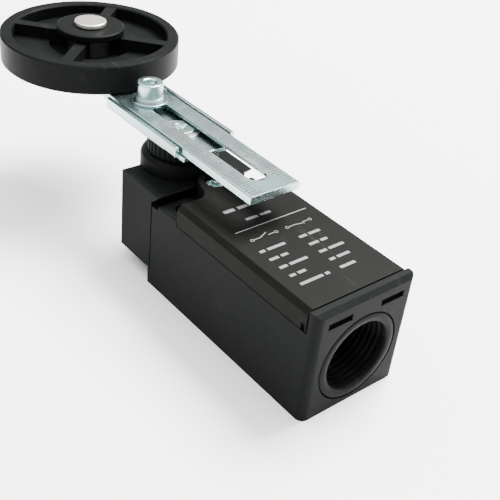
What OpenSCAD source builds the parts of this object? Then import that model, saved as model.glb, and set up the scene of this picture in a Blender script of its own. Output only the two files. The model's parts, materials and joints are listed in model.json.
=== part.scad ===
// Limit switch with a side-rotary, length-adjustable roller lever.
// Row frame: X across the body, Y from the conduit end towards the head, Z out of the mounting face.
// The origin is midway between the two fixing holes, on the mounting face.

/* [Body] */
// Width of the case, the cover and the head
body_w = 30; // [27:0.5:38]
// Height of the cover's front above the case's side walls
cover_rise = 6; // [5:0.1:9]
// Outer wall thickness
wall = 2; // [1.6:0.1:2.6]
// Thickness of the case's back wall
back_wall = 2.4; // [2:0.1:3]
// Thickness of the cover's front
cover_skin = 1.9; // [1.5:0.1:2.4]

/* [Fixing holes] */
// Distance between the two fixing holes
fix_spacing = 20; // [18:0.5:22]
// Diameter of the fixing holes
fix_d = 4.3; // [3.2:0.1:4.6]
// Distance from the conduit face to the fixing-hole line
fix_from_end = 54.5; // [46:0.5:66]
// Distance from the fixing-hole line to the head's seat
seat_y = 6.5; // [6:0.1:8]
// Radius of the round screw pockets in the cover
pocket_r = 5; // [4.6:0.1:5.2]

/* [Conduit entry] */
// Bore radius of the threaded sleeve
sleeve_bore_r = 9.2; // [7.5:0.1:11]
// Wall of the threaded sleeve
sleeve_wall = 2.3; // [1.6:0.1:2.6]
// Length of the threaded sleeve
sleeve_len = 11; // [9:0.5:12]
// Material below the sleeve, to the mounting face
entry_edge = 1.5; // [0.9:0.1:3]

/* [Head] */
// Length of the head's block along the body
head_len = 13.6; // [12:0.2:17]
// Height of the head's back above the mounting face
head_lift = 4.8; // [4:0.1:6]
// Height of the head's front above the case's side walls
head_rise = 3.5; // [3:0.1:5]
// Outer radius of the round turret that carries the shaft
turret_r = 10.25; // [8.5:0.05:12.5]
// Height of the turret above the head's front
turret_rise = 4.4; // [4:0.1:8]

/* [Shaft and plunger] */
// Shaft diameter
shaft_d = 7; // [5.8:0.1:8.4]
// Plunger diameter
plunger_d = 5; // [4:0.5:5.5]
// Plunger travel
plunger_travel = 2; // [1.5:0.1:2.2]

/* [Lever] */
// Outer width of the lever channel
channel_w = 18.4; // [15.4:0.2:24]
// Height of the channel, from its back to its flanges' edges
channel_h = 3.2; // [2.8:0.1:5]
// Sheet thickness of the channel
channel_t = 1.1; // [0.9:0.1:1.4]
// Length of the channel's flanges
channel_len = 32; // [30:1:36]
// Height of the fluted hub under the channel
hub_h = 3.7; // [3:0.1:6]
// Height of the graduated plate, from its folded edges to its face
plate_h = 2; // [1.7:0.1:3]
// Sheet thickness of the graduated plate
plate_t = 0.9; // [0.7:0.1:1]
// Reach of the plate behind the shaft
plate_back = 38; // [34:1:42]
// Width of the adjusting slot
slot_w = 5.3; // [5.2:0.1:5.6]
// Distance from the shaft's axis to the clamp screw
clamp_off = 14.7; // [13:0.1:17]
// Length that the lever gains when the plate is slid out
adjust_travel = 30; // [20:1:30]

/* [Roller] */
// Roller diameter
roller_d = 50; // [40:1:60]
// Roller width
roller_h = 8; // [6:0.5:10]
// Width of the roller's rim
rim_w = 3.4; // [3:0.1:5]
// Turn of the roller's ribs about its axle
rib_turn = 43; // [0:1:89]

/* [Clearances] */
// Radial clearance of every running fit
run_gap = 0.05; // [0.02:0.01:0.08]
// Gap between parts that pass each other
pass_gap = 0.3; // [0.2:0.05:0.4]
// Visible seam between mating shells
seam = 0.15; // [0.1:0.05:0.25]

/* [Hidden] */
$fn = 64;
over = 1; // how far every cut runs past the face it opens
coil_overlap = 0.95; // pitch of a closed coil, as a share of its wire

// Colours
plastic = [0.13, 0.135, 0.13];
seal_black = [0.06, 0.06, 0.06];
zinc = [0.76, 0.82, 0.81];
brass_tone = [0.78, 0.66, 0.36];
silver = [0.82, 0.82, 0.8];
cream = [0.86, 0.84, 0.76];

// Screws: thread radius, head radius
m3_r = 1.5;
m3_head_r = 2.5;
m25_r = 1.2;
m25_head_r = 2.25;
m4_r = 2;
screw_play = 0.15;

// Case
half_w = body_w / 2;
sleeve_r = sleeve_bore_r + sleeve_wall;
entry_z = sleeve_r + entry_edge;
sleeve_proud = 0.4;
case_h = entry_z + sleeve_r - sleeve_proud;
end_y = -fix_from_end;
foot_len = 1;
end_wall = 4.8;
end_lip = 2.8;
end_seam = 0.45;
lip_bevel_a = 35;
lip_bevel_drop = 0.75;
corner_r = 2;
groove_w = 0.3;
groove_depth = 1.2;
cavity_y0 = end_y + end_wall;
cavity_hw = half_w - wall;
post_y = -6;
post_top = case_h + 1.1;
hook_w = 7.1;
hook_x1 = half_w - 3.5;
hook_x0 = hook_x1 - hook_w;
hook_z0 = case_h + 1.3;
hook_h = 1.7;
hook_play = 0.25;

// Cover
cover_z0 = case_h + seam;
cover_top = case_h + cover_rise;
cover_y0 = end_y + end_lip + end_seam;
cover_y1 = -4.5;
cover_chamfer = 1.2;
pry_offset = 0.4;
pry_w = 1.2;
pry_h = 1.8;
pry_depth = 0.7;
pocket_y = 0.3;
tab_r = 4.4;
cover_screw_y = 0.8;
cover_hole_r = m3_head_r + 0.4;
cover_screw_sink = 1;
cover_screw_seat = 2.8;

// Cover gasket
gasket_w = 1.2;
gasket_z0 = case_h - 0.35;
gasket_z1 = case_h + 1.2;

// Head
head_top = case_h + head_rise;
turret_top = head_top + turret_rise;
turret_edge = 1.6;
turret_overhang = 0.25;
shaft_y = seat_y + turret_r - turret_overhang;
gasket_t = 0.4;
head_gasket_inset = 0.5;
head_y0 = seat_y + gasket_t;
head_end_y = head_y0 + head_len;
head_front_y = seat_y - 2.5;
head_lip = 0.5;
head_screw_edge = 3;
head_screw_x = half_w - head_screw_edge;
head_screw_z = (post_top + head_lift) / 2;
head_screw_dz = (post_top - head_lift) / 2 - head_screw_edge - 0.6;
head_screw_sink = 2.2;
head_hole_depth = 0.4;
insert_len = 3.2;
insert_r = 1.9;

// Cam room and shaft stack
shaft_r = shaft_d / 2;
cam_room_r = turret_r - 3;
cam_room_z0 = head_lift + 2.2;
cam_room_z1 = head_top - 4.6;
journal_floor = head_lift + 1;
cam_r = cam_room_r - 1.25;
cam_flat = shaft_r + 0.7;
cam_z0 = cam_room_z0 + 2;
cam_h = 7;
ring_t = 0.8;
ring_grip = 0.5;
ring_w = 1;
ring_z0 = cam_z0 + cam_h + 0.1;
bush_wall = 1.7;
bush_z0 = cam_room_z1;
seal_t = 1.6;
seal_w = 1.9;
bush_z1 = turret_top - seal_t - 0.4;
spring_wire = 1;
spring_coils = 4;
spring_r = (shaft_r + cam_room_r) / 2 - 0.275;
spring_z0 = ring_z0 + ring_t + 0.6;

// Plunger and contacts
plunger_r = plunger_d / 2;
plunger_z = back_wall + 10.1;
plunger_tip_y = shaft_y - cam_r - pass_gap;
dome = 0.3 * plunger_r;
block_hw = cavity_hw - pass_gap;
block_y1 = post_y - 1.2;
block_len = 26.8;
block_y0 = block_y1 - block_len;
block_z0 = back_wall;
block_floor = plunger_z - 4;
block_top = plunger_z + 5;
block_front_wall = 3.3;
pocket_y1 = block_y1 - block_front_wall;
pocket_y0 = pocket_y1 - 12.1;
pocket_hw = block_hw - 3.5;
bay_len = 8;
bay_pitch = 2 * block_hw / 4.1;
bay_hw = bay_pitch / 2 - 0.35;
terminal_y = block_y0 + 4;
terminal_x = [-1.5 * bay_pitch, -bay_pitch / 2, bay_pitch / 2, 1.5 * bay_pitch];
block_screw_x = block_hw - 1.9;
block_screw_y = block_y1 - 1.9;
block_screw_r = 1.15;
block_head_r = 1.9;
block_head_t = 1.4;
lid_t = 1.6;
lid_y0 = pocket_y0 - 1.4;
strip_w = 2.5;
strip_t = 0.8;
strip_z = plunger_z - 1.5;
strip_run = 0.45;
tongue_w = 2;
tongue_h = 4;
rivet_r = 0.9;
rivet_t = 0.6;
contact_x = bay_pitch + 0.4;
clamp_t = 1;
clamp_lift = 1;
clamp_z = strip_z + strip_t + clamp_lift;
terminal_head_h = 2.4;
terminal_r = 1.25;
carrier_hw = 1.6;
carrier_y1 = pocket_y1 - 1;
carrier_y0 = carrier_y1 - 7.9;
bridge_y = carrier_y1 - 5;
bridge_z0 = strip_z + 1.5;
bridge_t = 0.6;
bridge_h = 2;
window_h = 3.6;
window_z0 = strip_z + 1;
window_near = 1.5;
window_far = 2.6;
nc_tongue_y = bridge_y + 2.1 + strip_t;
no_tongue_y = bridge_y - plunger_travel - 1.9;
fine_wire = 0.5;
rivet_lift = 0.5;

// Lever stack
hub_z0 = turret_top + pass_gap;
hub_r = turret_r - 1.6;
flute_count = 36;
flute_r = 0.45;
channel_z0 = hub_z0 + hub_h;
channel_floor = channel_z0 + channel_t;
channel_y0 = shaft_y - 10.5;
channel_y1 = channel_y0 + channel_len;
floor_tongue = 2.4;
spigot_r = shaft_r - 0.6;
hub_washer_t = 0.3;
hub_washer_r = 5;
shaft_head_t = 0.65;
shaft_head_r = 3.6;
stub_len = 8;
plate_play = 0.6;
plate_w = channel_w - 2 * (channel_t + plate_play);
plate_z0 = channel_floor + 0.15;
plate_top = plate_z0 + plate_h;
plate_y0 = shaft_y - plate_back;
clamp_y = shaft_y + clamp_off;
slot_y0 = plate_y0 + 5;
slot_y1 = clamp_y + 5;
clamp_washer_r = 5;
clamp_washer_t = 0.6;
clamp_washer_z = plate_top + run_gap;
spring_washer_r = 3.7;
spring_washer_t = 0.8;
spring_washer_cut = 0.6;
clamp_head_z = clamp_washer_z + clamp_washer_t + spring_washer_t;
clamp_head_r = 3.5;
clamp_head_h = 4;
hex_af = 3;
hex_depth = 2.2;
nut_w = 7;
nut_h = 2.2;

// Roller stack
roller_r = roller_d / 2;
roller_gap = 0.6;
roller_y = clamp_y + clamp_washer_r + roller_gap + roller_r;
washer_t = 0.3;
washer_r = 5.5;
roller_z0 = plate_top + washer_t + run_gap;
rim_chamfer = 0.4;
hollow_r = 11.5;
web_z0 = 2;
web_z1 = roller_h - 3.6;
hollow_z = 3;
rib_w = 3.2;
rib_drop = 0.3;
bush_r = 6.4;
cap_r = 9.4;
cap_t = 1.9;
axle_r = 3;
axle_head_r = 4.4;
axle_head_t = 1.3;
cap_top = roller_z0 + roller_h + cap_t;

module box(x0, x1, y0, y1, z0, z1) {
    translate([x0, y0, z0]) cube([x1 - x0, y1 - y0, z1 - z0]);
}

module rod_z(x, y, z0, z1, r) {
    translate([x, y, z0]) cylinder(r = r, h = z1 - z0);
}

module rod_y(x, y0, y1, z, r) {
    translate([x, y0, z]) rotate([-90, 0, 0]) cylinder(r = r, h = y1 - y0);
}

module ring_z(x, y, z0, z1, outer_r, inner_r) {
    difference() {
        rod_z(x, y, z0, z1, outer_r);
        rod_z(x, y, z0 - over, z1 + over, inner_r);
    }
}

module cross_slot(x, y, z, size, depth) {
    for (turn = [0, 90])
        translate([x, y, z]) rotate([0, 0, turn])
            translate([-size / 2, -size / 8, -depth]) cube([size, size / 4, depth + over]);
}

// The same shape at the four corners of the head's screw pattern
module at_head_screws() {
    for (side = [-1, 1], up = [-1, 1])
        translate([side * head_screw_x, 0, head_screw_z + up * head_screw_dz]) children();
}

// Closed turns of a coil spring, side by side along Z
module coil_stack(mean_r, wire, count, pitch) {
    rotate_extrude() for (turn = [0 : count - 1])
        translate([mean_r, wire / 2 + turn * pitch]) circle(d = wire, $fn = 48);
}

// A plan-view slab whose corners at the conduit end are rounded
module end_rounded_slab(y0, y1, z0, z1) {
    box(-half_w, half_w, y0 + corner_r, y1, z0, z1);
    box(-half_w + corner_r, half_w - corner_r, y0, y0 + corner_r * 2, z0, z1);
    for (side = [-1, 1]) rod_z(side * (half_w - corner_r), y0 + corner_r, z0, z1, corner_r);
}

module case() {
    lip_y = end_y + end_lip;
    color(plastic) difference() {
        union() {
            end_rounded_slab(end_y, seat_y, 0, case_h);
            end_rounded_slab(end_y, lip_y + corner_r * 2, case_h - over, cover_top);
            box(-half_w, half_w, seat_y - over, seat_y + foot_len, 0, head_lift - seam);
            box(-half_w, half_w, post_y + wall, head_front_y - seam, case_h - over, post_top);
        }
        // Space above the side walls for the cover
        box(-half_w - over, half_w + over, lip_y, post_y + wall, case_h, cover_top + over);
        // Front bevel of the end lip
        translate([0, end_y, cover_top]) rotate([lip_bevel_a, 0, 0])
            box(-half_w - over, half_w + over, -3, 6, -lip_bevel_drop, 3);
        // Wiring and contact chamber
        box(-cavity_hw, cavity_hw, cavity_y0, post_y, back_wall, cover_top + over);
        // Conduit entry with the shadow gap round the sleeve
        rod_y(0, end_y - over, end_y + sleeve_len, entry_z, sleeve_r);
        rod_y(0, end_y - over, end_y + groove_depth, entry_z, sleeve_r + groove_w);
        // Windows that the cover's hooks engage
        for (side = [0, 1]) mirror([side, 0, 0])
            box(hook_x0, hook_x1, end_y - over, lip_y + over, hook_z0, hook_z0 + hook_h);
        // Fixing holes
        for (side = [-1, 1]) rod_z(side * fix_spacing / 2, 0, -over, post_top + over, fix_d / 2);
        // Plunger guide
        rod_y(0, post_y - over, seat_y + over, plunger_z, plunger_r + run_gap);
        // Cover screw thread
        rod_z(0, cover_screw_y, plunger_z + plunger_r + 1.6, post_top + over, m3_r);
        // Insert pockets for the head screws
        at_head_screws() rod_y(0, seat_y - insert_len, seat_y + over, 0, insert_r);
        // Clearance for the head's front overhang
        box(-half_w - over, half_w + over, head_front_y - seam, seat_y + over, case_h, post_top + over);
    }
}

module conduit_sleeve() {
    color(plastic) difference() {
        rod_y(0, end_y, end_y + sleeve_len, entry_z, sleeve_r);
        rod_y(0, end_y - over, end_y + sleeve_len + over, entry_z, sleeve_bore_r);
    }
}

module cover() {
    tab_z0 = post_top + seam;
    hook_y0 = end_y + 0.8;
    bevel = cover_chamfer * sqrt(2);
    color(plastic) difference() {
        union() {
            box(-half_w, half_w, cover_y0, post_y + wall - seam, cover_z0, cover_top);
            box(-half_w, half_w, cover_y0, cover_y1, tab_z0, cover_top);
            // Tab between the two fixing pockets, for the cover screw
            difference() {
                box(-fix_spacing / 2, fix_spacing / 2, cover_y1 - over, cover_screw_y, tab_z0, cover_top);
                for (side = [-1, 1])
                    rod_z(side * fix_spacing / 2, pocket_y, post_top - over, cover_top + over, pocket_r);
            }
            rod_z(0, cover_screw_y, tab_z0, cover_top, tab_r);
            // Hooks that hold the cover at the conduit end
            for (side = [0, 1]) mirror([side, 0, 0])
                box(hook_x0 + hook_play, hook_x1 - hook_play, hook_y0, cover_y0 + over,
                    hook_z0 + hook_play, hook_z0 + hook_h - hook_play);
        }
        // Hollow under the front, and room for the top of the sleeve
        box(-cavity_hw, cavity_hw, cavity_y0, post_y, case_h - over, cover_top - cover_skin);
        rod_y(0, cover_y0 - over, end_y + sleeve_len + over, entry_z, sleeve_r + seam);
        // Notches where a screwdriver lifts the cover
        for (side = [-1, 1])
            box(side * half_w - pry_depth, side * half_w + pry_depth, cover_y0 + pry_offset,
                cover_y0 + pry_offset + pry_w, cover_z0 - over, cover_z0 + pry_h);
        // Chamfered long edges
        for (side = [-1, 1])
            translate([side * half_w, 0, cover_top]) rotate([0, 45, 0])
                cube([bevel, 3 * fix_from_end, bevel], center = true);
        // Cover screw: counterbore and clearance hole
        rod_z(0, cover_screw_y, post_top - over, cover_top + over, m3_r + screw_play);
        rod_z(0, cover_screw_y, cover_top - cover_screw_seat, cover_top + over, cover_hole_r);
    }
}

module cover_gasket() {
    outer_hw = cavity_hw;
    y0 = cavity_y0;
    y1 = post_y;
    color(seal_black) difference() {
        box(-outer_hw, outer_hw, y0, y1, gasket_z0, gasket_z1);
        box(-outer_hw + gasket_w, outer_hw - gasket_w, y0 + gasket_w, y1 - gasket_w,
            gasket_z0 - over, gasket_z1 + over);
        // Arch over the sleeve
        rod_y(0, y0 - over, y0 + gasket_w + over, entry_z, sleeve_r + seam);
    }
}

module cover_screw() {
    seat_z = cover_top - cover_screw_seat;
    head_z = cover_top - cover_screw_sink;
    color(zinc) difference() {
        union() {
            rod_z(0, cover_screw_y, seat_z, head_z, m3_head_r);
            rod_z(0, cover_screw_y, plunger_z + plunger_r + 2.6, seat_z, m3_r);
        }
        cross_slot(0, cover_screw_y, head_z, 3.4, 1.1);
    }
}

// The head's block with its slanted overhang, and the turret that stands on it
module head_block() {
    rotate([90, 0, 90]) translate([0, 0, -half_w]) linear_extrude(body_w) polygon([
        [head_y0, head_lift], [head_end_y, head_lift], [head_end_y, head_top],
        [head_front_y, head_top], [head_y0 - head_lip, post_top + seam], [head_y0, post_top + seam]
    ]);
    rod_z(0, shaft_y, head_top - over, turret_top, turret_r);
    difference() {
        rod_z(0, shaft_y, head_lift, head_top, turret_r);
        box(-turret_r - over, turret_r + over, shaft_y - turret_r - over, head_y0 + over,
            0, head_top + over);
    }
}

// What the turret's rounded rim takes off
module turret_rim_cut() {
    edge_z = turret_top - turret_edge;
    difference() {
        rod_z(0, shaft_y, edge_z, turret_top + over, turret_r + over);
        rod_z(0, shaft_y, edge_z - over, turret_top + 2 * over, turret_r - turret_edge);
        translate([0, shaft_y, edge_z]) rotate_extrude()
            translate([turret_r - turret_edge, 0]) circle(r = turret_edge);
    }
}

module head() {
    color(plastic) difference() {
        head_block();
        // Cam room and the plunger's way in
        rod_z(0, shaft_y, cam_room_z0, cam_room_z1, cam_room_r);
        rod_y(0, head_y0 - over, shaft_y, plunger_z, plunger_r + run_gap);
        // Back journal, bush seat and seal groove
        rod_z(0, shaft_y, journal_floor, cam_room_z0 + over, shaft_r + run_gap);
        rod_z(0, shaft_y, bush_z0 - over, bush_z1, shaft_r + bush_wall);
        rod_z(0, shaft_y, bush_z1 - over, turret_top + over, shaft_r + seal_w);
        turret_rim_cut();
        // Room for the cover's tab
        rod_z(0, cover_screw_y, post_top, cover_top, tab_r + seam);
        // Head screws
        at_head_screws() {
            rod_y(0, head_y0 - over, head_end_y + over, 0, m25_r + screw_play);
            rod_y(0, head_end_y - head_screw_sink, head_end_y + over, 0, m3_head_r);
        }
    }
}

module head_gasket() {
    hw = half_w - head_gasket_inset;
    color(seal_black) difference() {
        box(-hw, hw, seat_y, head_y0, head_lift + head_gasket_inset, case_h - head_gasket_inset);
        rod_y(0, seat_y - over, head_y0 + over, plunger_z, plunger_r + pass_gap);
        at_head_screws() rod_y(0, seat_y - over, head_y0 + over, 0, m25_r + pass_gap);
    }
}

module head_inserts() {
    color(brass_tone) at_head_screws() difference() {
        rod_y(0, seat_y - insert_len, seat_y, 0, insert_r);
        rod_y(0, seat_y - insert_len - over, seat_y + over, 0, m25_r);
    }
}

module head_screws() {
    color(zinc) at_head_screws() difference() {
        union() {
            rod_y(0, seat_y - insert_len + head_hole_depth, head_end_y - head_screw_sink, 0, m25_r);
            rod_y(0, head_end_y - head_screw_sink, head_end_y - head_hole_depth, 0, m25_head_r);
        }
        translate([0, head_end_y - head_hole_depth, 0]) rotate([-90, 0, 0]) cross_slot(0, 0, 0, 3, 1);
    }
}

module contact_block() {
    color(cream) difference() {
        box(-block_hw, block_hw, block_y0, block_y1, block_z0, block_top);
        // Contact pocket
        box(-pocket_hw, pocket_hw, pocket_y0, pocket_y1, block_floor, block_top + over);
        // Terminal bays, open towards the wiring space
        for (x = terminal_x) {
            box(x - bay_hw, x + bay_hw, block_y0 - over, block_y0 + bay_len, strip_z, block_top + over);
            rod_z(x, terminal_y, block_z0 + 3, strip_z + over, terminal_r);
        }
        // Channels for the strips and holes for the block's screws
        for (side = [-1, 1]) {
            outer_x = side * terminal_x[3];
            inner_x = side * terminal_x[2];
            run = strip_w / 2 + strip_run;
            strip_y0 = block_y0 + bay_len - over;
            box(outer_x - run, outer_x + run, strip_y0, pocket_y1, strip_z, block_top + over);
            box(inner_x - run, inner_x + run, strip_y0, pocket_y0 + over, strip_z, block_top + over);
            rod_z(side * block_screw_x, block_screw_y, block_z0 - over, block_top + over, block_screw_r);
        }
        // Opening for the plunger
        rod_y(0, pocket_y1 - over, block_y1 + over, plunger_z, plunger_r + pass_gap);
    }
}

module contact_lid() {
    color(cream) difference() {
        box(-block_hw, block_hw, lid_y0, block_y1, block_top, block_top + lid_t);
        for (side = [-1, 1])
            rod_z(side * block_screw_x, block_screw_y, block_top - over, block_top + lid_t + over,
                block_screw_r);
    }
}

module block_screws() {
    seat_z = block_top + lid_t;
    color(zinc) for (side = [-1, 1]) difference() {
        union() {
            rod_z(side * block_screw_x, block_screw_y, seat_z, seat_z + block_head_t, block_head_r);
            rod_z(side * block_screw_x, block_screw_y, block_z0 + 1, seat_z, block_screw_r);
        }
        cross_slot(side * block_screw_x, block_screw_y, seat_z + block_head_t, 2.4, 0.8);
    }
}

// A strip runs from its terminal to an upright tongue that carries the contact rivet
module contact_strip(x, tongue_y, face) {
    hw = strip_w / 2;
    pad = bay_hw - 0.35;
    root_y = tongue_y - strip_t;
    tongue_x0 = contact_x - tongue_w / 2;
    tongue_x1 = contact_x + tongue_w / 2;
    top_z = strip_z + strip_t;
    difference() {
        union() {
            box(x - hw, x + hw, terminal_y, tongue_y, strip_z, top_z);
            box(x - pad, x + pad, block_y0 + 0.6, terminal_y + 3, strip_z, top_z);
            box(min(x - hw, tongue_x0), max(x + hw, tongue_x1), root_y, tongue_y, strip_z, top_z);
            box(tongue_x0, tongue_x1, root_y, tongue_y, strip_z, strip_z + tongue_h);
        }
        rod_z(x, terminal_y, strip_z - over, top_z + over, terminal_r);
    }
    rivet_y0 = face > 0 ? tongue_y - strip_t / 2 : root_y - rivet_t;
    rod_y(contact_x, rivet_y0, rivet_y0 + rivet_t + strip_t / 2, bridge_z0 + bridge_h / 2, rivet_r);
}

module no_contact_strips() {
    color(brass_tone) for (side = [0, 1]) mirror([side, 0, 0]) contact_strip(terminal_x[2], no_tongue_y, 1);
}

module nc_contact_strips() {
    color(brass_tone) for (side = [0, 1]) mirror([side, 0, 0]) contact_strip(terminal_x[3], nc_tongue_y, -1);
}

module terminal_clamps() {
    hw = bay_hw - 0.25;
    color(zinc) for (x = terminal_x) difference() {
        box(x - hw, x + hw, terminal_y - hw, terminal_y + hw, clamp_z, clamp_z + clamp_t);
        rod_z(x, terminal_y, clamp_z - over, clamp_z + clamp_t + over, terminal_r);
    }
}

module terminal_screws() {
    head_z = clamp_z + clamp_t;
    color(zinc) for (x = terminal_x) difference() {
        union() {
            rod_z(x, terminal_y, head_z, head_z + terminal_head_h, bay_hw - 0.25);
            rod_z(x, terminal_y, block_z0 + 3.4, head_z, terminal_r);
        }
        cross_slot(x, terminal_y, head_z + terminal_head_h, 3.4, 1.2);
    }
}

module shaft_bush() {
    color(brass_tone) ring_z(0, shaft_y, bush_z0, bush_z1, shaft_r + bush_wall, shaft_r + run_gap);
}

module shaft_seal() {
    color(seal_black) ring_z(0, shaft_y, bush_z1, bush_z1 + seal_t, shaft_r + seal_w, shaft_r + run_gap);
}

module return_spring() {
    leg = 0.8;
    color(silver) {
        translate([0, shaft_y, spring_z0])
            coil_stack(spring_r, spring_wire, spring_coils, spring_wire * coil_overlap);
        // Leg that points along the cam room
        box(-spring_r - leg / 2, -spring_r + leg / 2, shaft_y - cam_room_r / 2, shaft_y,
            spring_z0 + 0.1, spring_z0 + spring_wire - 0.1);
    }
}

module plunger() {
    color(cream) {
        rod_y(0, carrier_y1, plunger_tip_y - dome, plunger_z, plunger_r);
        // Tapered tip
        translate([0, plunger_tip_y - dome, plunger_z]) rotate([-90, 0, 0])
            cylinder(r1 = plunger_r, r2 = plunger_r * 0.6, h = dome);
    }
}

module contact_carrier() {
    color(cream) difference() {
        box(-carrier_hw, carrier_hw, carrier_y0, carrier_y1, block_floor + pass_gap, block_top - pass_gap);
        // Window for the bridge and its spring
        box(-carrier_hw - over, carrier_hw + over, bridge_y - window_near, bridge_y + window_far,
            window_z0, window_z0 + window_h);
    }
}

module contact_bridge() {
    reach = contact_x + tongue_w / 2;
    color(brass_tone) {
        box(-reach, reach, bridge_y, bridge_y + bridge_t, bridge_z0, bridge_z0 + bridge_h);
        for (side = [-1, 1])
            rod_y(side * contact_x, bridge_y - rivet_lift, bridge_y + bridge_t + rivet_lift,
                bridge_z0 + bridge_h / 2, rivet_r - 0.05);
    }
}

module bridge_spring() {
    color(silver) translate([0, bridge_y + bridge_t, bridge_z0 + bridge_h / 2]) rotate([-90, 0, 0])
        coil_stack(0.9, fine_wire, 4, fine_wire * coil_overlap);
}

module plunger_spring() {
    turns = 7;
    room = carrier_y0 - pocket_y0;
    color(silver) translate([0, pocket_y0, plunger_z]) rotate([-90, 0, 0])
        coil_stack(1.5, fine_wire, turns, (room - fine_wire) / (turns - 1));
}

module shaft() {
    color(silver) {
        difference() {
            rod_z(0, shaft_y, journal_floor + 0.2, channel_z0, shaft_r);
            // Groove for the retaining ring, and the thread for the shaft screw
            ring_z(0, shaft_y, ring_z0, ring_z0 + ring_t, shaft_r + over, shaft_r - ring_grip);
            rod_z(0, shaft_y, channel_z0 - stub_len - over, channel_z0 + over, m4_r);
        }
        ring_z(0, shaft_y, channel_z0, channel_floor, spigot_r, m4_r);
    }
}

module cam() {
    color(silver) difference() {
        rod_z(0, shaft_y, cam_z0, cam_z0 + cam_h, cam_r);
        box(-cam_r, cam_r, shaft_y - cam_r - over, shaft_y - cam_flat, cam_z0 - over, cam_z0 + cam_h + over);
        rod_z(0, shaft_y, cam_z0 - over, cam_z0 + cam_h + over, shaft_r);
    }
}

module retaining_ring() {
    mouth = shaft_r - 0.9;
    color(silver) difference() {
        ring_z(0, shaft_y, ring_z0, ring_z0 + ring_t, shaft_r + ring_w, shaft_r - ring_grip);
        box(-mouth, mouth, shaft_y, shaft_y + shaft_d, ring_z0 - over, ring_z0 + ring_t + over);
    }
}

module lever_hub() {
    color(plastic) difference() {
        ring_z(0, shaft_y, hub_z0, channel_z0, hub_r, shaft_r);
        for (flute = [0 : flute_count - 1])
            translate([0, shaft_y, 0]) rotate([0, 0, flute * 360 / flute_count])
                translate([hub_r + flute_r / 3, 0, hub_z0 - over])
                    cylinder(r = flute_r, h = hub_h + 2 * over, $fn = 16);
    }
}

module lever_channel() {
    hw = channel_w / 2;
    inner_hw = hw - channel_t;
    edge_z = channel_z0 + channel_h;
    color(zinc) difference() {
        union() {
            box(-hw, hw, channel_y0, channel_y1, channel_z0, edge_z);
            box(-inner_hw, inner_hw, channel_y0 - floor_tongue, channel_y0 + over, channel_z0, channel_floor);
        }
        box(-inner_hw, inner_hw, channel_y0 - over, channel_y1 + over, channel_floor, edge_z + over);
        rod_z(0, shaft_y, channel_z0 - over, channel_floor + over, spigot_r);
        rod_z(0, clamp_y, channel_z0 - over, channel_floor + over, m4_r);
    }
}

module hub_washer() {
    color(silver) ring_z(0, shaft_y, channel_floor, channel_floor + hub_washer_t, hub_washer_r, m4_r);
}

module shaft_screw() {
    seat_z = channel_floor + hub_washer_t;
    color(zinc) difference() {
        union() {
            rod_z(0, shaft_y, seat_z, seat_z + shaft_head_t, shaft_head_r);
            rod_z(0, shaft_y, channel_z0 - stub_len, seat_z, m4_r);
        }
        cross_slot(0, shaft_y, seat_z + shaft_head_t, 3.6, 0.5);
    }
}

module clamp_screw() {
    color(zinc) difference() {
        union() {
            rod_z(0, clamp_y, clamp_head_z, clamp_head_z + clamp_head_h, clamp_head_r);
            rod_z(0, clamp_y, channel_z0 - nut_h - 0.6, clamp_head_z, m4_r);
        }
        translate([0, clamp_y, clamp_head_z + clamp_head_h - hex_depth])
            cylinder(d = hex_af * 2 / sqrt(3), h = hex_depth + over, $fn = 6);
    }
}

module clamp_spring_washer() {
    z0 = clamp_washer_z + clamp_washer_t;
    hw = spring_washer_cut / 2;
    color(silver) difference() {
        ring_z(0, clamp_y, z0, clamp_head_z, spring_washer_r, m4_r);
        box(0, spring_washer_r + over, clamp_y - hw, clamp_y + hw, z0 - over, clamp_head_z + over);
    }
}

module clamp_washer() {
    color(zinc) ring_z(0, clamp_y, clamp_washer_z, clamp_washer_z + clamp_washer_t, clamp_washer_r, m4_r);
}

module clamp_nut() {
    hw = nut_w / 2;
    color(zinc) difference() {
        box(-hw, hw, clamp_y - hw, clamp_y + hw, channel_z0 - nut_h, channel_z0);
        rod_z(0, clamp_y, channel_z0 - nut_h - over, channel_z0 + over, m4_r);
    }
}

// The plate's outline, shrunk by a margin, with a round end about the roller's axle
module plate_outline(margin, z0, z1) {
    hw = plate_w / 2 - margin;
    box(-hw, hw, plate_y0 + margin, roller_y, z0, z1);
    rod_z(0, roller_y, z0, z1, hw);
}

module scale_plate() {
    end_r = slot_w / 2;
    color(zinc) difference() {
        plate_outline(0, plate_z0, plate_top);
        plate_outline(plate_t, plate_z0 - over, plate_top - plate_t);
        // Adjusting slot
        box(-end_r, end_r, slot_y0 + end_r, slot_y1 - end_r, plate_z0 - over, plate_top + over);
        for (y = [slot_y0 + end_r, slot_y1 - end_r]) rod_z(0, y, plate_z0 - over, plate_top + over, end_r);
        rod_z(0, roller_y, plate_z0 - over, plate_top + over, axle_r);
    }
}

module roller_axle() {
    rivet_z = plate_top - plate_t;
    color(silver) {
        rod_z(0, roller_y, rivet_z - 1, rivet_z, axle_head_r);
        rod_z(0, roller_y, rivet_z, cap_top + run_gap, axle_r);
        rod_z(0, roller_y, cap_top + run_gap, cap_top + run_gap + axle_head_t, axle_head_r);
    }
}

module roller_washer() {
    color(silver) ring_z(0, roller_y, plate_top, plate_top + washer_t, washer_r, axle_r);
}

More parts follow.
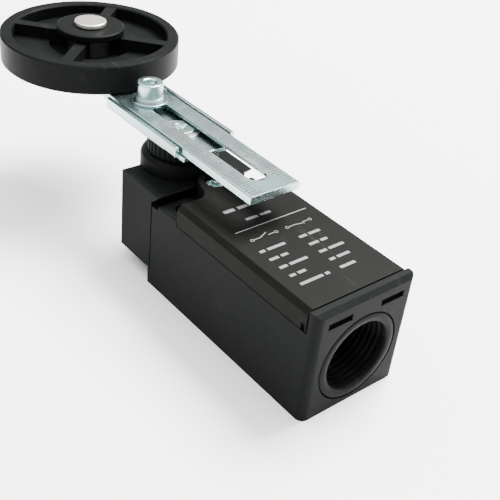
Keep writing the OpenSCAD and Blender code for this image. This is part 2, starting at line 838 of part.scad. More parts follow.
module roller() {
    rim_r = roller_r - rim_w;
    color(plastic) translate([0, roller_y, roller_z0]) difference() {
        union() {
            rotate_extrude($fn = 128) polygon([
                [rim_r, rim_chamfer], [rim_r + rim_chamfer, 0],
                [roller_r - rim_chamfer, 0], [roller_r, rim_chamfer],
                [roller_r, roller_h - rim_chamfer], [roller_r - rim_chamfer, roller_h],
                [rim_r + rim_chamfer, roller_h], [rim_r, roller_h - rim_chamfer]
            ]);
            // Web with the hollow round the bush, and the four ribs
            difference() {
                translate([0, 0, web_z0]) cylinder(r = rim_r + 0.1, h = web_z1 - web_z0);
                translate([0, 0, hollow_z]) cylinder(r = hollow_r, h = roller_h);
            }
            for (turn = [0 : 90 : 270]) rotate([0, 0, turn + rib_turn])
                translate([bush_r - 0.5, -rib_w / 2, web_z0])
                    cube([rim_r - bush_r + 0.6, rib_w, roller_h - web_z0 - rib_drop]);
        }
        translate([0, 0, -over]) cylinder(r = bush_r, h = roller_h + 2 * over);
    }
}

module roller_bush() {
    color(silver) ring_z(0, roller_y, roller_z0, roller_z0 + roller_h, bush_r, axle_r + run_gap);
}

module roller_cap() {
    color(plastic) ring_z(0, roller_y, roller_z0 + roller_h, cap_top, cap_r, axle_r + run_gap);
}

case();
conduit_sleeve();
cover();
cover_gasket();
cover_screw();
head();
head_gasket();
head_inserts();
head_screws();
contact_block();
contact_lid();
block_screws();
no_contact_strips();
nc_contact_strips();
terminal_screws();
terminal_clamps();
shaft_bush();
shaft_seal();
return_spring();
plunger();
plunger_spring();
contact_carrier();
contact_bridge();
bridge_spring();
shaft();
cam();
retaining_ring();
lever_hub();
lever_channel();
hub_washer();
shaft_screw();
clamp_screw();
clamp_spring_washer();
clamp_washer();
clamp_nut();
scale_plate();
roller_axle();
roller_washer();
roller();
roller_bush();
roller_cap();
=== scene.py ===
"""Looks of a limit switch with a length-adjustable roller lever, built around its CAD frame."""
import json
import math

import bmesh
import bpy
from mathutils import Matrix, Vector


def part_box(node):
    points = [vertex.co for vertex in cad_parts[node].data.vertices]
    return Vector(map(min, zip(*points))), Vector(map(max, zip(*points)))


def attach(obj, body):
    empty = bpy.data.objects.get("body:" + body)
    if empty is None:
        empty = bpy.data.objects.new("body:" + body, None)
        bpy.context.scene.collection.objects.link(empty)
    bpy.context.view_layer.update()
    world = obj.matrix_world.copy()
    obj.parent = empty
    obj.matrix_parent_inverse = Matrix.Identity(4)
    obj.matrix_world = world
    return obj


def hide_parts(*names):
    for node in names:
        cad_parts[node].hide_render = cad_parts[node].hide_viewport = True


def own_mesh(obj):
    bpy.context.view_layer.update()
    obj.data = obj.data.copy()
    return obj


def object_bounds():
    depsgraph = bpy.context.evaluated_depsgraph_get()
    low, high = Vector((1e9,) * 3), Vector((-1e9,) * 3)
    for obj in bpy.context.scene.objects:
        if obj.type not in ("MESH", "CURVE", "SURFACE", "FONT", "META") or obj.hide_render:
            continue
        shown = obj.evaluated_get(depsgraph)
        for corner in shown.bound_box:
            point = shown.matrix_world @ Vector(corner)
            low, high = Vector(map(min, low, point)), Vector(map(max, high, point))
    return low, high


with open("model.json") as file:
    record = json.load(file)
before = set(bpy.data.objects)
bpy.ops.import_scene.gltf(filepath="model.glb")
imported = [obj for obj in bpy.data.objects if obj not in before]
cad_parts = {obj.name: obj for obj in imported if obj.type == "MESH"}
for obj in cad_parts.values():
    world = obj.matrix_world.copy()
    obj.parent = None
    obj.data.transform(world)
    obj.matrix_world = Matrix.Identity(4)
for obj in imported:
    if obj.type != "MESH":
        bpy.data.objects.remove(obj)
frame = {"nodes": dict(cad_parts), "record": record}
cad_low, cad_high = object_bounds()

MM = 0.001
MICRON = 0.001 * MM
NODE_BODY = {node: body for body, nodes in frame["record"]["behaviour"]["bodies"].items() for node in nodes}


# ---------------------------------------------------------------- places taken from the frame

def middle(node):
    low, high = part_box(node)
    return (low + high) / 2


def top(node):
    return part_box(node)[1].z


def bottom(node):
    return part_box(node)[0].z


# ---------------------------------------------------------------- shader maths

class Value:
    """A number in a material: arithmetic on it adds Math nodes."""

    def __init__(self, tree, socket):
        self.tree = tree
        self.socket = socket

    def maths(self, operation, *operands):
        return self.tree.node("ShaderNodeMath", {"operation": operation}, dict(enumerate(operands)))

    def __add__(self, other):
        return self.maths("ADD", self, other)

    def __radd__(self, other):
        return self.maths("ADD", other, self)

    def __sub__(self, other):
        return self.maths("SUBTRACT", self, other)

    def __rsub__(self, other):
        return self.maths("SUBTRACT", other, self)

    def __mul__(self, other):
        return self.maths("MULTIPLY", self, other)

    def __rmul__(self, other):
        return self.maths("MULTIPLY", other, self)

    def above(self, limit):
        return self.maths("GREATER_THAN", self, limit)

    def power(self, exponent):
        return self.maths("POWER", self, exponent)


# the colour sockets of a Mix node, by number because its other kinds of socket have the same names
MIX_FACTOR, MIX_FIRST, MIX_SECOND, MIX_RESULT = 0, 6, 7, 2


class Nodes:
    """A node tree in the making: node() adds any node and returns one of its outputs."""

    def __init__(self, tree):
        self.tree = tree

    def node(self, kind, settings=None, sockets=None, output=0):
        made = self.tree.nodes.new(kind)
        for name, setting in (settings or {}).items():
            if name == "stops":
                self.set_stops(made.color_ramp, setting)
            else:
                setattr(made, name, setting)
        for name, value in (sockets or {}).items():
            self.feed(made.inputs[name], value)
        return Value(self, made.outputs[output])

    def axes(self, vector):
        """The X, Y and Z of a vector."""
        parts = self.node("ShaderNodeSeparateXYZ", None, {"Vector": vector}).socket.node
        return [Value(self, output) for output in parts.outputs]

    def set_stops(self, ramp, stops):
        while len(ramp.elements) < len(stops):
            ramp.elements.new(1.0)
        for element, (place, level) in zip(ramp.elements, stops):
            element.position = place
            element.color = (level, level, level, 1.0)

    def feed(self, socket, value):
        if isinstance(value, Value):
            self.tree.links.new(value.socket, socket)
        elif isinstance(value, tuple) and socket.type == "RGBA":
            socket.default_value = (*value[:3], 1.0)
        else:
            socket.default_value = value


class Finish(Nodes):
    """One material."""

    def __init__(self, name):
        self.material = bpy.data.materials.new(name)
        self.material.use_nodes = True
        super().__init__(self.material.node_tree)
        self.shader = self.tree.nodes["Principled BSDF"]

    def surface(self, **sockets):
        for name, value in sockets.items():
            self.feed(self.shader.inputs[name.replace("_", " ")], value)
        return self.material

    def place(self):
        return self.node("ShaderNodeTexCoord", output="Object")

    def stretched(self, scale, centre=(0, 0, 0), turn=(0, 0, 0)):
        settings = {"Vector": self.place(), "Location": centre, "Rotation": turn, "Scale": scale}
        return self.node("ShaderNodeMapping", None, settings)

    def noise(self, scale, detail=2.0, rough=0.5, vector=None):
        sockets = {"Vector": vector or self.place(), "Scale": scale, "Detail": detail, "Roughness": rough}
        return self.node("ShaderNodeTexNoise", None, sockets)

    def ramp(self, value, *stops):
        return self.node("ShaderNodeValToRGB", {"stops": stops}, {"Fac": value})

    def blend(self, factor, first, second):
        sockets = {MIX_FACTOR: factor, MIX_FIRST: first, MIX_SECOND: second}
        return self.node("ShaderNodeMix", {"data_type": "RGBA"}, sockets, MIX_RESULT)

    def bump(self, height, depth, strength=1.0, under=None):
        sockets = {"Height": height, "Distance": depth, "Strength": strength}
        if under:
            sockets["Normal"] = under
        return self.node("ShaderNodeBump", None, sockets)


# ---------------------------------------------------------------- finishes

RINGS_PER_METRE = 9000

def moulded_plastic(name, colour, lighter, gloss, grain_size, grain_depth):
    """Moulded plastic: spark-eroded grain, faint flow mottling, a little dust and a few rub marks."""
    finish = Finish(name)
    grain = finish.noise(1 / grain_size, 3.0, 0.6)
    mottle = finish.noise(1 / (9 * MM), 3.0, 0.55)
    rub_place = finish.stretched((1 / (2 * MM), 1 / (14 * MM), 1 / (5 * MM)), turn=(0.3, 0.5, 0.7))
    rub = finish.ramp(finish.noise(1.0, 4.0, 0.62, rub_place), (0.62, 0.0), (0.72, 1.0))
    dust = finish.ramp(finish.noise(1 / (0.45 * MM), 1.0, 0.5), (0.74, 0.0), (0.80, 1.0))
    body_colour = finish.blend(mottle, colour, lighter)
    worn_colour = finish.blend(rub * 0.06, body_colour, (0.10, 0.10, 0.095))
    dusty_colour = finish.blend(dust * 0.06, worn_colour, (0.30, 0.29, 0.27))
    roughness = gloss + (mottle - 0.5) * 0.16 + rub * 0.08 + dust * 0.15
    fine = finish.bump(grain, grain_depth)
    coarse = finish.bump(mottle, 0.05 * MM, 0.35, under=fine)
    return finish.surface(Base_Color=dusty_colour, Roughness=roughness, Specular_IOR_Level=0.035, Normal=coarse)


def rubber(name):
    finish = Finish(name)
    grain = finish.noise(1 / (0.25 * MM), 3.0, 0.6)
    bloom = finish.noise(1 / (3 * MM), 4.0, 0.6)
    colour = finish.blend(bloom, (0.012, 0.012, 0.012), (0.035, 0.034, 0.032))
    return finish.surface(Base_Color=colour, Roughness=0.62 + bloom * 0.2, Normal=finish.bump(grain, 0.02 * MM))


def zinc_plate(name, along):
    """Bright blue-white zinc on rolled steel: drawn lines along the sheet, faint iridescence, tiny pits."""
    finish = Finish(name)
    lines_scale = {"X": (60, 2600, 2600), "Y": (2600, 60, 2600), "Z": (2600, 2600, 60)}[along]
    lines = finish.noise(1.0, 4.0, 0.65, finish.stretched(lines_scale))
    cloud = finish.noise(1 / (5 * MM), 3.0, 0.6)
    film = finish.noise(1 / (11 * MM), 2.0, 0.5)
    pits = finish.ramp(finish.noise(1 / (0.3 * MM), 2.0, 0.5), (0.68, 0.0), (0.76, 1.0))
    cool = finish.blend(cloud, (0.34, 0.49, 0.49), (0.50, 0.64, 0.63))
    tinted = finish.blend(finish.ramp(film, (0.45, 0.0), (0.7, 1.0)) * 0.35, cool, (0.62, 0.64, 0.56))
    colour = finish.blend(pits * 0.5, tinted, (0.22, 0.27, 0.27))
    roughness = 0.12 + lines * 0.12 + cloud * 0.12 + pits * 0.2
    fine = finish.bump(lines, 0.008 * MM, 0.4)
    pitted = finish.bump(pits, -0.02 * MM, 0.6, under=fine)
    return finish.surface(Base_Color=colour, Metallic=1.0, Roughness=roughness, Normal=pitted)


def turned_steel(name, centre, colour, darker):
    """Ground or turned steel: fine rings round a vertical axis."""
    finish = Finish(name)
    place = finish.stretched((1, 1, 1), centre=(-centre.x, -centre.y, 0))
    x, y, height = finish.axes(place)
    radius = (x * x + y * y).power(0.5)
    ring_sockets = {"X": radius * RINGS_PER_METRE, "Y": height * RINGS_PER_METRE}
    ring_place = finish.node("ShaderNodeCombineXYZ", None, ring_sockets)
    rings = finish.noise(1.0, 2.0, 0.6, ring_place)
    stain = finish.noise(1 / (2.5 * MM), 4.0, 0.6)
    tone = finish.blend(stain, colour, darker)
    roughness = 0.2 + rings * 0.14 + stain * 0.14
    ringed = finish.bump(rings, 0.008 * MM, 0.6)
    return finish.surface(Base_Color=tone, Metallic=1.0, Roughness=roughness, Normal=ringed)


def stamped_brass(name):
    finish = Finish(name)
    tarnish = finish.noise(1 / (2 * MM), 4.0, 0.6)
    grain = finish.noise(1.0, 3.0, 0.6, finish.stretched((3000, 120, 3000)))
    colour = finish.blend(tarnish, (0.78, 0.58, 0.25), (0.55, 0.38, 0.16))
    roughness = 0.28 + tarnish * 0.2
    grained = finish.bump(grain, 0.01 * MM, 0.6)
    return finish.surface(Base_Color=colour, Metallic=1.0, Roughness=roughness, Normal=grained)


def printing_ink(name, colour):
    """Pad-printed ink with a slightly starved, uneven film."""
    finish = Finish(name)
    starved = finish.ramp(finish.noise(1 / (0.35 * MM), 3.0, 0.65), (0.35, 0.0), (0.62, 1.0))
    cloud = finish.noise(1 / (4 * MM), 2.0, 0.5)
    tone = finish.blend(starved, tuple(c * 0.62 for c in colour), colour)
    return finish.surface(Base_Color=tone, Roughness=0.5 + cloud * 0.25, Normal=finish.bump(starved, 0.01 * MM, 0.5))


def engraving_ink(name):
    """Dark residue in the stamped lines of the scale."""
    finish = Finish(name)
    patchy = finish.noise(1 / (0.6 * MM), 3.0, 0.6)
    tone = finish.blend(patchy, (0.02, 0.028, 0.028), (0.07, 0.09, 0.09))
    return finish.surface(Base_Color=tone, Roughness=0.5 + patchy * 0.2, Specular_IOR_Level=0.2)


def table_top(name):
    finish = Finish(name)
    cloud = finish.noise(3.0, 2.0, 0.5)
    tone = finish.blend(cloud, (0.86, 0.865, 0.85), (0.89, 0.893, 0.88))
    return finish.surface(Base_Color=tone, Roughness=0.7, Specular_IOR_Level=0.2)


shaft_axis = middle("shaft")
clamp_axis = middle("clamp_screw")
roller_axis = middle("roller_axle")

FINISHES = {
    "case": moulded_plastic("case plastic", (0.0026, 0.0034, 0.0030), (0.0052, 0.0062, 0.0055), 0.50,
                            grain_size=0.20 * MM, grain_depth=0.016 * MM),
    "cover": moulded_plastic("cover plastic", (0.0030, 0.0032, 0.0027), (0.0056, 0.0056, 0.0048), 0.50,
                             grain_size=0.24 * MM, grain_depth=0.010 * MM),
    "roller": moulded_plastic("roller plastic", (0.0026, 0.0030, 0.0030), (0.0052, 0.0060, 0.0056), 0.42,
                              grain_size=0.30 * MM, grain_depth=0.012 * MM),
    "cream": moulded_plastic("inner plastic", (0.60, 0.56, 0.46), (0.70, 0.66, 0.56), 0.42,
                             grain_size=0.25 * MM, grain_depth=0.010 * MM),
    "rubber": rubber("seal rubber"),
    "zinc_sheet": zinc_plate("zinc plated sheet", "Y"),
    "zinc_screw": zinc_plate("zinc plated screws", "Z"),
    "steel_shaft": turned_steel("ground shaft steel", shaft_axis, (0.74, 0.74, 0.72), (0.55, 0.55, 0.53)),
    "steel_clamp": turned_steel("spring steel", clamp_axis, (0.72, 0.78, 0.77), (0.52, 0.58, 0.58)),
    "steel_axle": turned_steel("turned axle steel", roller_axis, (0.86, 0.82, 0.74), (0.74, 0.68, 0.60)),
    "steel_bush": turned_steel("oiled bush steel", roller_axis, (0.42, 0.42, 0.42), (0.24, 0.24, 0.24)),
    "brass": stamped_brass("stamped brass"),
    "print": printing_ink("panel print", (0.13, 0.135, 0.13)),
    "engraving": engraving_ink("scale engraving"),
}

NODE_FINISH = {
    "case": "case", "conduit_sleeve": "case", "head": "case", "lever_hub": "case", "cover": "cover",
    "roller": "roller", "roller_cap": "roller",
    "cover_gasket": "rubber", "head_gasket": "rubber", "shaft_seal": "rubber",
    "contact_block": "cream", "contact_lid": "cream", "plunger": "cream", "contact_carrier": "cream",
    "lever_channel": "zinc_sheet", "scale_plate": "zinc_sheet", "terminal_clamps": "zinc_sheet",
    "cover_screw": "zinc_screw", "head_screws": "zinc_screw", "block_screws": "zinc_screw",
    "terminal_screws": "zinc_screw", "shaft_screw": "zinc_screw", "clamp_screw": "zinc_screw",
    "clamp_nut": "zinc_screw", "clamp_washer": "zinc_screw",
    "clamp_spring_washer": "steel_clamp",
    "shaft": "steel_shaft", "cam": "steel_shaft", "retaining_ring": "steel_shaft", "return_spring": "steel_shaft",
    "plunger_spring": "steel_shaft", "bridge_spring": "steel_shaft", "hub_washer": "steel_shaft",
    "roller_axle": "steel_axle", "roller_washer": "steel_axle", "roller_bush": "steel_bush",
    "head_inserts": "brass", "shaft_bush": "brass", "no_contact_strips": "brass", "nc_contact_strips": "brass",
    "contact_bridge": "brass",
}


def finish_of(node):
    return FINISHES[NODE_FINISH[node]]


# ---------------------------------------------------------------- making and placing pieces

def add_piece(name, mesh, node, replace=(), finish=None):
    """A finished mesh that rides with a CAD node's body and hides the CAD parts it replaces."""
    piece = bpy.data.objects.new(name, mesh)
    bpy.context.scene.collection.objects.link(piece)
    mesh.materials.clear()
    mesh.materials.append(finish or finish_of(node))
    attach(piece, NODE_BODY[node])
    if replace:
        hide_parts(*replace)
    return piece


def smooth(mesh, angle=35):
    for face in mesh.polygons:
        face.use_smooth = True
    mesh.set_sharp_from_angle(angle=math.radians(angle))


def mesh_of(shape, name):
    """The plain mesh of a bmesh, which is used up."""
    mesh = bpy.data.meshes.new(name)
    shape.to_mesh(mesh)
    shape.free()
    return mesh


def evaluated(mesh, modifiers):
    """The mesh after a list of (modifier type, settings)."""
    holder = bpy.data.objects.new("holder", mesh)
    bpy.context.scene.collection.objects.link(holder)
    for kind, settings in modifiers:
        modifier = holder.modifiers.new(kind.lower(), kind)
        for name, value in settings.items():
            setattr(modifier, name, value)
    graph = bpy.context.evaluated_depsgraph_get()
    result = bpy.data.meshes.new_from_object(holder.evaluated_get(graph))
    bpy.data.objects.remove(holder)
    return result


def clean_copy(node):
    """A CAD node's shape as a bmesh with whole flat faces instead of triangles."""
    shape = bmesh.new()
    shape.from_mesh(frame["nodes"][node].data)
    bmesh.ops.remove_doubles(shape, verts=shape.verts, dist=2 * MICRON)
    bmesh.ops.dissolve_limit(shape, angle_limit=math.radians(0.4), verts=shape.verts, edges=shape.edges)
    return shape


def soften(node, width, segments=2, wide=None, wide_width=0.0):
    """Stands for a CAD node with its sharp edges broken; edges that pass the wide test get a larger round."""
    shape = clean_copy(node)
    if wide:
        chosen = [e for e in shape.edges if wide(e.verts[0].co, e.verts[1].co) and e.calc_face_angle(0) > 0.5]
        bmesh.ops.bevel(shape, geom=chosen, offset=wide_width, segments=4, profile=0.5, affect="EDGES")
    mesh = mesh_of(shape, node)
    smooth(mesh)
    bevel = {"width": width, "segments": segments, "limit_method": "ANGLE", "angle_limit": math.radians(30)}
    mesh = evaluated(mesh, [("BEVEL", bevel), ("WEIGHTED_NORMAL", {"keep_sharp": True, "weight": 100})])
    return add_piece(node + "_finished", mesh, node, [node])


def sprung(node, travel):
    """Stands for a coil spring as a merged, smooth-shaded copy of its CAD node on that node's body; the travel is not
    used.
    """
    low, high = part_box(node)
    shape = clean_copy(node)
    mesh = mesh_of(shape, node)
    smooth(mesh)
    piece = add_piece(node + "_finished", mesh, node, [node])
    1 - travel / (high.y - low.y)
    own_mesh(piece)


def edge_test(*conditions):
    """True for an edge whose two ends both meet every condition (axis, value): at that place, within a hair."""
    def both_ends(first, second):
        near = 5 * MICRON
        return all(abs(end["xyz".index(axis)] - value) < near for end in (first, second) for axis, value in conditions)
    return both_ends


def outer_fold(node, height):
    """Picks a folded sheet's long outer bends at one height, on both sides."""
    low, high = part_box(node)
    sides = [edge_test(("x", side), ("z", height)) for side in (low.x, high.x)]
    return lambda first, second: any(side(first, second) for side in sides)


for cad_node, cad_object in frame["nodes"].items():
    cad_object.data.materials.clear()
    cad_object.data.materials.append(finish_of(cad_node))

# how far the sharp edges of each piece are broken, in millimetres
EDGE_BREAK = {
    "case": 0.35, "cover": 0.3, "head": 0.35, "roller": 0.4, "roller_cap": 0.35, "roller_axle": 0.25,
    "lever_hub": 0.1, "clamp_washer": 0.12, "clamp_nut": 0.25, "cover_screw": 0.12, "clamp_screw": 0.35,
    "hub_washer": 0.08, "shaft_screw": 0.12, "clamp_spring_washer": 0.1, "roller_washer": 0.08,
}
ROUNDER = ("roller", "case", "head", "clamp_screw")
SHEET_EDGE = 0.12 * MM

for node, width in EDGE_BREAK.items():
    soften(node, width * MM, 3 if node in ROUNDER else 2)
soften("lever_channel", SHEET_EDGE, wide=outer_fold("lever_channel", bottom("lever_channel")), wide_width=0.9 * MM)
soften("scale_plate", SHEET_EDGE, wide=outer_fold("scale_plate", top("scale_plate")), wide_width=0.5 * MM)

joints = {joint["name"]: joint for joint in frame["record"]["behaviour"]["joints"]}
sprung("plunger_spring", joints["plunger_travel"]["range_m"][1])


# ---------------------------------------------------------------- conduit thread

THREAD_PITCH = 1.5 * MM
THREAD_DEPTH = 0.75 * MM
THREAD_LEAD_IN = 1.1 * MM
THREAD_FACES = 96
MOUTH_CHAMFER = 0.25 * MM
RIM_CHAMFER = 0.2 * MM


def threaded_sleeve():
    """The conduit sleeve with its helical internal thread, behind a plain lead-in at the mouth."""
    low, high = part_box("conduit_sleeve")
    centre = (low + high) / 2
    outer = (high.x - low.x) / 2
    corners = [vertex.co for vertex in frame["nodes"]["conduit_sleeve"].data.vertices]
    bore = min(math.hypot(corner.x - centre.x, corner.z - centre.z) for corner in corners)
    length = high.y - low.y
    depths = [0.0, MOUTH_CHAMFER, THREAD_LEAD_IN]
    step = THREAD_PITCH / 8
    while depths[-1] + step < length - 0.5 * MM:
        depths.append(depths[-1] + step)
    depths.append(length)
    shape = bmesh.new()

    def ring(radius_at, depth):
        made = []
        for i in range(THREAD_FACES):
            angle = 2 * math.pi * i / THREAD_FACES
            radius = radius_at(angle, depth)
            x, z = centre.x + radius * math.cos(angle), centre.z + radius * math.sin(angle)
            made.append(shape.verts.new((x, low.y + depth, z)))
        return made

    def thread_radius(angle, depth):
        if depth <= 0:
            return bore + MOUTH_CHAMFER
        if depth < THREAD_LEAD_IN or depth >= length:
            return bore
        turn = (depth / THREAD_PITCH + angle / (2 * math.pi)) % 1
        flank = min(1.0, max(0.0, 1.35 - abs(turn * 2 - 1) * 2.2))
        fade = min(1.0, (depth - THREAD_LEAD_IN) / THREAD_PITCH)
        return bore + THREAD_DEPTH * flank * fade

    def outer_radius(angle, depth):
        return outer - (RIM_CHAMFER if depth == 0 else 0)

    inside = [ring(thread_radius, depth) for depth in depths]
    outside = [ring(outer_radius, depth) for depth in (0.0, RIM_CHAMFER, length)]
    loops = list(reversed(inside)) + outside
    loops.append(loops[0])
    for first, second in zip(loops, loops[1:]):
        for i in range(THREAD_FACES):
            j = (i + 1) % THREAD_FACES
            shape.faces.new((first[i], first[j], second[j], second[i]))
    bmesh.ops.recalc_face_normals(shape, faces=shape.faces)
    mesh = mesh_of(shape, "conduit_sleeve")
    smooth(mesh, 50)
    add_piece("conduit_sleeve_threaded", mesh, "conduit_sleeve", ["conduit_sleeve"])


threaded_sleeve()


# ---------------------------------------------------------------- repeated marks, by Geometry Nodes

def mark_row_tree():
    """A row of thin bars along Y; every fifth is long. All of them start at x = 0 and lie on z = 0."""
    group = bpy.data.node_groups.new("row of marks", "GeometryNodeTree")
    group.interface.new_socket("Geometry", in_out="OUTPUT", socket_type="NodeSocketGeometry")
    for name, kind in (("Count", "Int"), ("Pitch", "Float"), ("Short", "Float"), ("Long", "Float"),
                       ("Width", "Float"), ("Height", "Float"), ("First Long", "Int"), ("Finish", "Material")):
        group.interface.new_socket(name, in_out="INPUT", socket_type="NodeSocket" + kind)
    build = Nodes(group)
    given = group.nodes.new("NodeGroupInput")
    value = {socket.name: Value(build, socket) for socket in given.outputs if socket.name}
    step = build.node("ShaderNodeCombineXYZ", None, {"Y": value["Pitch"]})
    line = build.node("GeometryNodeMeshLine", {"mode": "OFFSET"}, {"Count": value["Count"], "Offset": step})
    shifted = build.node("GeometryNodeInputIndex") + value["First Long"]
    is_long = 1.0 - shifted.maths("MODULO", shifted, 5.0).above(0.5)
    length = value["Short"] + is_long * (value["Long"] - value["Short"])
    size = build.node("ShaderNodeCombineXYZ", None, {"X": length, "Y": value["Width"], "Z": value["Height"]})
    unit = build.node("GeometryNodeMeshCube", None, {"Size": (1, 1, 1)})
    bar = build.node("GeometryNodeTransform", None, {"Geometry": unit, "Translation": (0.5, 0, 0.5)})
    row = build.node("GeometryNodeInstanceOnPoints", None, {"Points": line, "Instance": bar, "Scale": size})
    solid = build.node("GeometryNodeRealizeInstances", None, {"Geometry": row})
    coloured = build.node("GeometryNodeSetMaterial", None, {"Geometry": solid, "Material": value["Finish"]})
    build.feed(group.nodes.new("NodeGroupOutput").inputs[0], coloured)
    return group


def from_tree(group, **inputs):
    """The plain mesh that a Geometry Nodes tree makes with these named inputs."""
    holder = bpy.data.objects.new("holder", bpy.data.meshes.new("holder"))
    bpy.context.scene.collection.objects.link(holder)
    modifier = holder.modifiers.new("tree", "NODES")
    modifier.node_group = group
    for item in group.interface.items_tree:
        if item.in_out == "INPUT" and item.name in inputs:
            modifier[item.identifier] = inputs[item.name]
    graph = bpy.context.evaluated_depsgraph_get()
    graph.update()
    mesh = bpy.data.meshes.new_from_object(holder.evaluated_get(graph))
    bpy.data.objects.remove(holder)
    return mesh


def written(words, height):
    """Figures as a thin mesh, centred on the origin, facing +Z."""
    curve = bpy.data.curves.new("figures", "FONT")
    curve.body = words
    curve.size = height / 0.7
    curve.align_x, curve.align_y = "CENTER", "CENTER"
    curve.resolution_u = 2
    curve.extrude = 0.01 * MM
    holder = bpy.data.objects.new("holder", curve)
    bpy.context.scene.collection.objects.link(holder)
    graph = bpy.context.evaluated_depsgraph_get()
    mesh = bpy.data.meshes.new_from_object(holder.evaluated_get(graph))
    bpy.data.objects.remove(holder)
    return mesh


def joined(parts):
    """One mesh out of (mesh, matrix) pairs."""
    shape = bmesh.new()
    for mesh, matrix in parts:
        moved = mesh.copy()
        moved.transform(matrix)
        shape.from_mesh(moved)
        bpy.data.meshes.remove(moved)
    return mesh_of(shape, "joined")


INK = 0.015 * MM


def scale_on_plate():
    """Millimetre marks along both sides of the slotted plate, with a figure every centimetre."""
    low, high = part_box("scale_plate")
    half_width = (high.x - low.x) / 2
    edge = half_width - 0.6 * MM
    first = low.y + 1 * MM
    count = int((middle("clamp_screw").y - 7 * MM - first) / MM)
    rows = mark_row_tree()
    marks = from_tree(rows, Count=count, Pitch=MM, Short=2.5 * MM, Long=3.2 * MM, Width=0.34 * MM, Height=INK,
                      **{"First Long": 0, "Finish": FINISHES["engraving"]})
    parts = []
    for side in (-1, 1):
        turned = Matrix.Rotation(0 if side < 0 else math.pi, 4, "Z") @ Matrix.Scale(-side, 4, (0, 1, 0))
        place = Matrix.Translation((side * edge, first, high.z))
        parts.append((marks, place @ turned))
        for centimetre in range(1, count // 10 + 1):
            figure = written(str(centimetre), 1.2 * MM)
            spot = Matrix.Translation((side * (edge - 3.45 * MM), first + (centimetre * 10 - 5) * MM, high.z))
            parts.append((figure, spot @ Matrix.Rotation(math.pi / 2, 4, "Z")))
    mesh = joined(parts)
    add_piece("plate_scale", mesh, "scale_plate", finish=FINISHES["engraving"])


scale_on_plate()


# ---------------------------------------------------------------- print on the cover

def bar(x0, x1, y0, y1):
    """A flat printed bar as (mesh, matrix), between z = 0 and the film's thickness."""
    shape = bmesh.new()
    bmesh.ops.create_cube(shape, size=1)
    place = Matrix.Translation(((x0 + x1) / 2, (y0 + y1) / 2, INK / 2))
    return mesh_of(shape, "bar"), place @ Matrix.Diagonal((x1 - x0, y1 - y0, INK, 1))


def stroke(start, end, width):
    """A straight printed line between two points."""
    along = Vector(end) - Vector(start)
    mesh, matrix = bar(-along.length / 2, along.length / 2, -width / 2, width / 2)
    spot = (Vector(start) + Vector(end)) / 2
    turned = Matrix.Rotation(math.atan2(along.y, along.x), 4, "Z")
    return mesh, Matrix.Translation((spot.x, spot.y, 0)) @ turned @ matrix


def ring_mark(x, y, radius, width, faces=16):
    """A printed circle."""
    angles = [2 * math.pi * i / faces for i in range(faces + 1)]
    points = [(x + radius * math.cos(angle), y + radius * math.sin(angle)) for angle in angles]
    return [stroke(start, end, width) for start, end in zip(points, points[1:])]


def contact_symbol(x, y, opened):
    """A circuit diagram's contact: two leads and a blade that rests open or closed."""
    lean = 1.1 if opened else -0.45
    lines = [((x - 3.2, y), (x - 1.2, y)), ((x + 1.2, y), (x + 3.2, y)), ((x - 1.2, y), (x + 1.35, y + lean))]
    if not opened:
        lines.append(((x + 1.2, y), (x + 1.2, y - 0.75)))
    marks = [stroke(start, end, 0.24) for start, end in lines]
    return marks + ring_mark(x - 3.6, y, 0.4, 0.2) + ring_mark(x + 3.6, y, 0.4, 0.2)


def word_row(x, y, height, widths, gap=0.75):
    """A line of print as plain bars, one for each word."""
    marks = []
    for width in widths:
        marks.append(bar(x, x + width, y - height / 2, y + height / 2))
        x += width + gap
    return marks


def cover_print():
    """Panel print in millimetres about the cover's middle line: heading blocks, a rule, two symbols, five rows."""
    marks = [bar(-10.5, 11.4, -20.9, -20.6)]
    marks += word_row(-7.4, -12.4, 1.1, (3.2, 3.2, 2.6, 3.4), 1.0) + word_row(-4.6, -17.4, 0.9, (3.6, 3.2))
    marks += contact_symbol(-5.2, -25.0, True) + contact_symbol(5.4, -25.0, False)
    rows = (((1.5, 5.2), (2.2, 3.4)), ((2.6, 2.0), (2.8, 2.0)), ((2.2, 5.2), (2.2, 4.6)),
            ((1.6, 2.2), (1.6, 3.8)), ((6.6, 1.2), (4.6,)))
    for number, (left, right) in enumerate(rows):
        y = -29.6 - number * 3.45
        marks += word_row(-10.3, y, 0.85, left) + word_row(1.6, y, 0.85, right)
    scale = Matrix.Diagonal((MM, MM, 1, 1))
    place = Matrix.Translation((0, 0, top("cover")))
    mesh = joined([(mark, place @ scale @ matrix) for mark, matrix in marks])
    add_piece("cover_print", mesh, "cover", finish=FINISHES["print"])


cover_print()


# ---------------------------------------------------------------- floor, light and camera

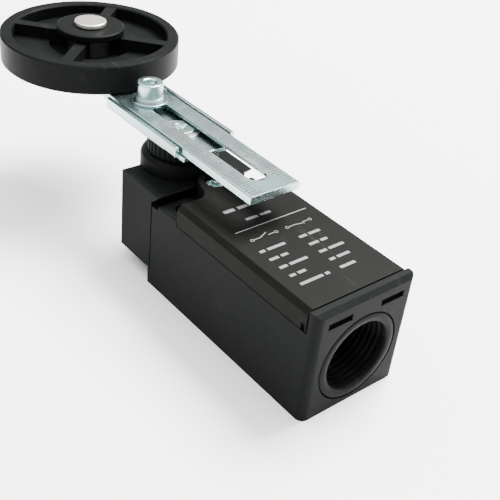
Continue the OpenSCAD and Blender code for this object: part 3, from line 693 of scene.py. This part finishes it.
FLOOR_SIZE = 60
FLOOR_GAP = 0.02 * MM
SKY_STRENGTH = 5.0
SKY_STOPS = ((0.0, 0.07), (0.55, 0.16), (0.85, 1.0))
LAMP_PLACE, LAMP_TARGET, LAMP_SIZE, LAMP_POWER = (0.62, 0.10, 1.0), (0, 0.02, 0), 0.6, 75
CAMERA_PLACE = (-0.12042, -0.14593, 0.14082)
CAMERA_RIGHT = (0.77573, -0.62371, 0.09608)
CAMERA_AHEAD = (0.55751, 0.606, -0.5674)
CAMERA_LENS = 62.57

def make_floor():
    bpy.ops.mesh.primitive_plane_add(size=FLOOR_SIZE, location=(0, 0, cad_low.z - FLOOR_GAP))
    floor = bpy.context.object
    floor.name = "table_top"
    floor.data.materials.append(table_top("table top"))


def soft_light(name, place, target, size, power):
    data = bpy.data.lights.new(name, "AREA")
    data.shape = "SQUARE"
    data.size = size
    data.energy = power
    light = bpy.data.objects.new(name, data)
    light.location = place
    light.rotation_euler = (Vector(target) - Vector(place)).to_track_quat("-Z", "Y").to_euler()
    bpy.context.scene.collection.objects.link(light)


def make_sky(strength):
    """A room that is bright overhead and dim towards the horizon."""
    world = bpy.data.worlds.new("studio")
    world.use_nodes = True
    room = Nodes(world.node_tree)
    direction = room.node("ShaderNodeTexCoord", output="Generated")
    height = room.axes(direction)[2]
    glow = room.node("ShaderNodeValToRGB", {"stops": SKY_STOPS}, {"Fac": height})
    background = world.node_tree.nodes["Background"]
    room.feed(background.inputs["Color"], glow)
    room.feed(background.inputs["Strength"], strength)
    bpy.context.scene.world = world


def make_camera():
    data = bpy.data.cameras.new("camera")
    data.lens = CAMERA_LENS
    data.clip_start, data.clip_end = 0.005, 20
    camera = bpy.data.objects.new("camera", data)
    right = Vector(CAMERA_RIGHT).normalized()
    ahead = Vector(CAMERA_AHEAD).normalized()
    up = right.cross(ahead).normalized()
    right = ahead.cross(up)
    turned = Matrix((right, up, -ahead)).transposed().to_4x4()
    camera.matrix_world = Matrix.Translation(CAMERA_PLACE) @ turned
    bpy.context.scene.collection.objects.link(camera)
    bpy.context.scene.camera = camera


make_floor()
make_sky(SKY_STRENGTH)
soft_light("overhead", LAMP_PLACE, LAMP_TARGET, LAMP_SIZE, LAMP_POWER)
make_camera()
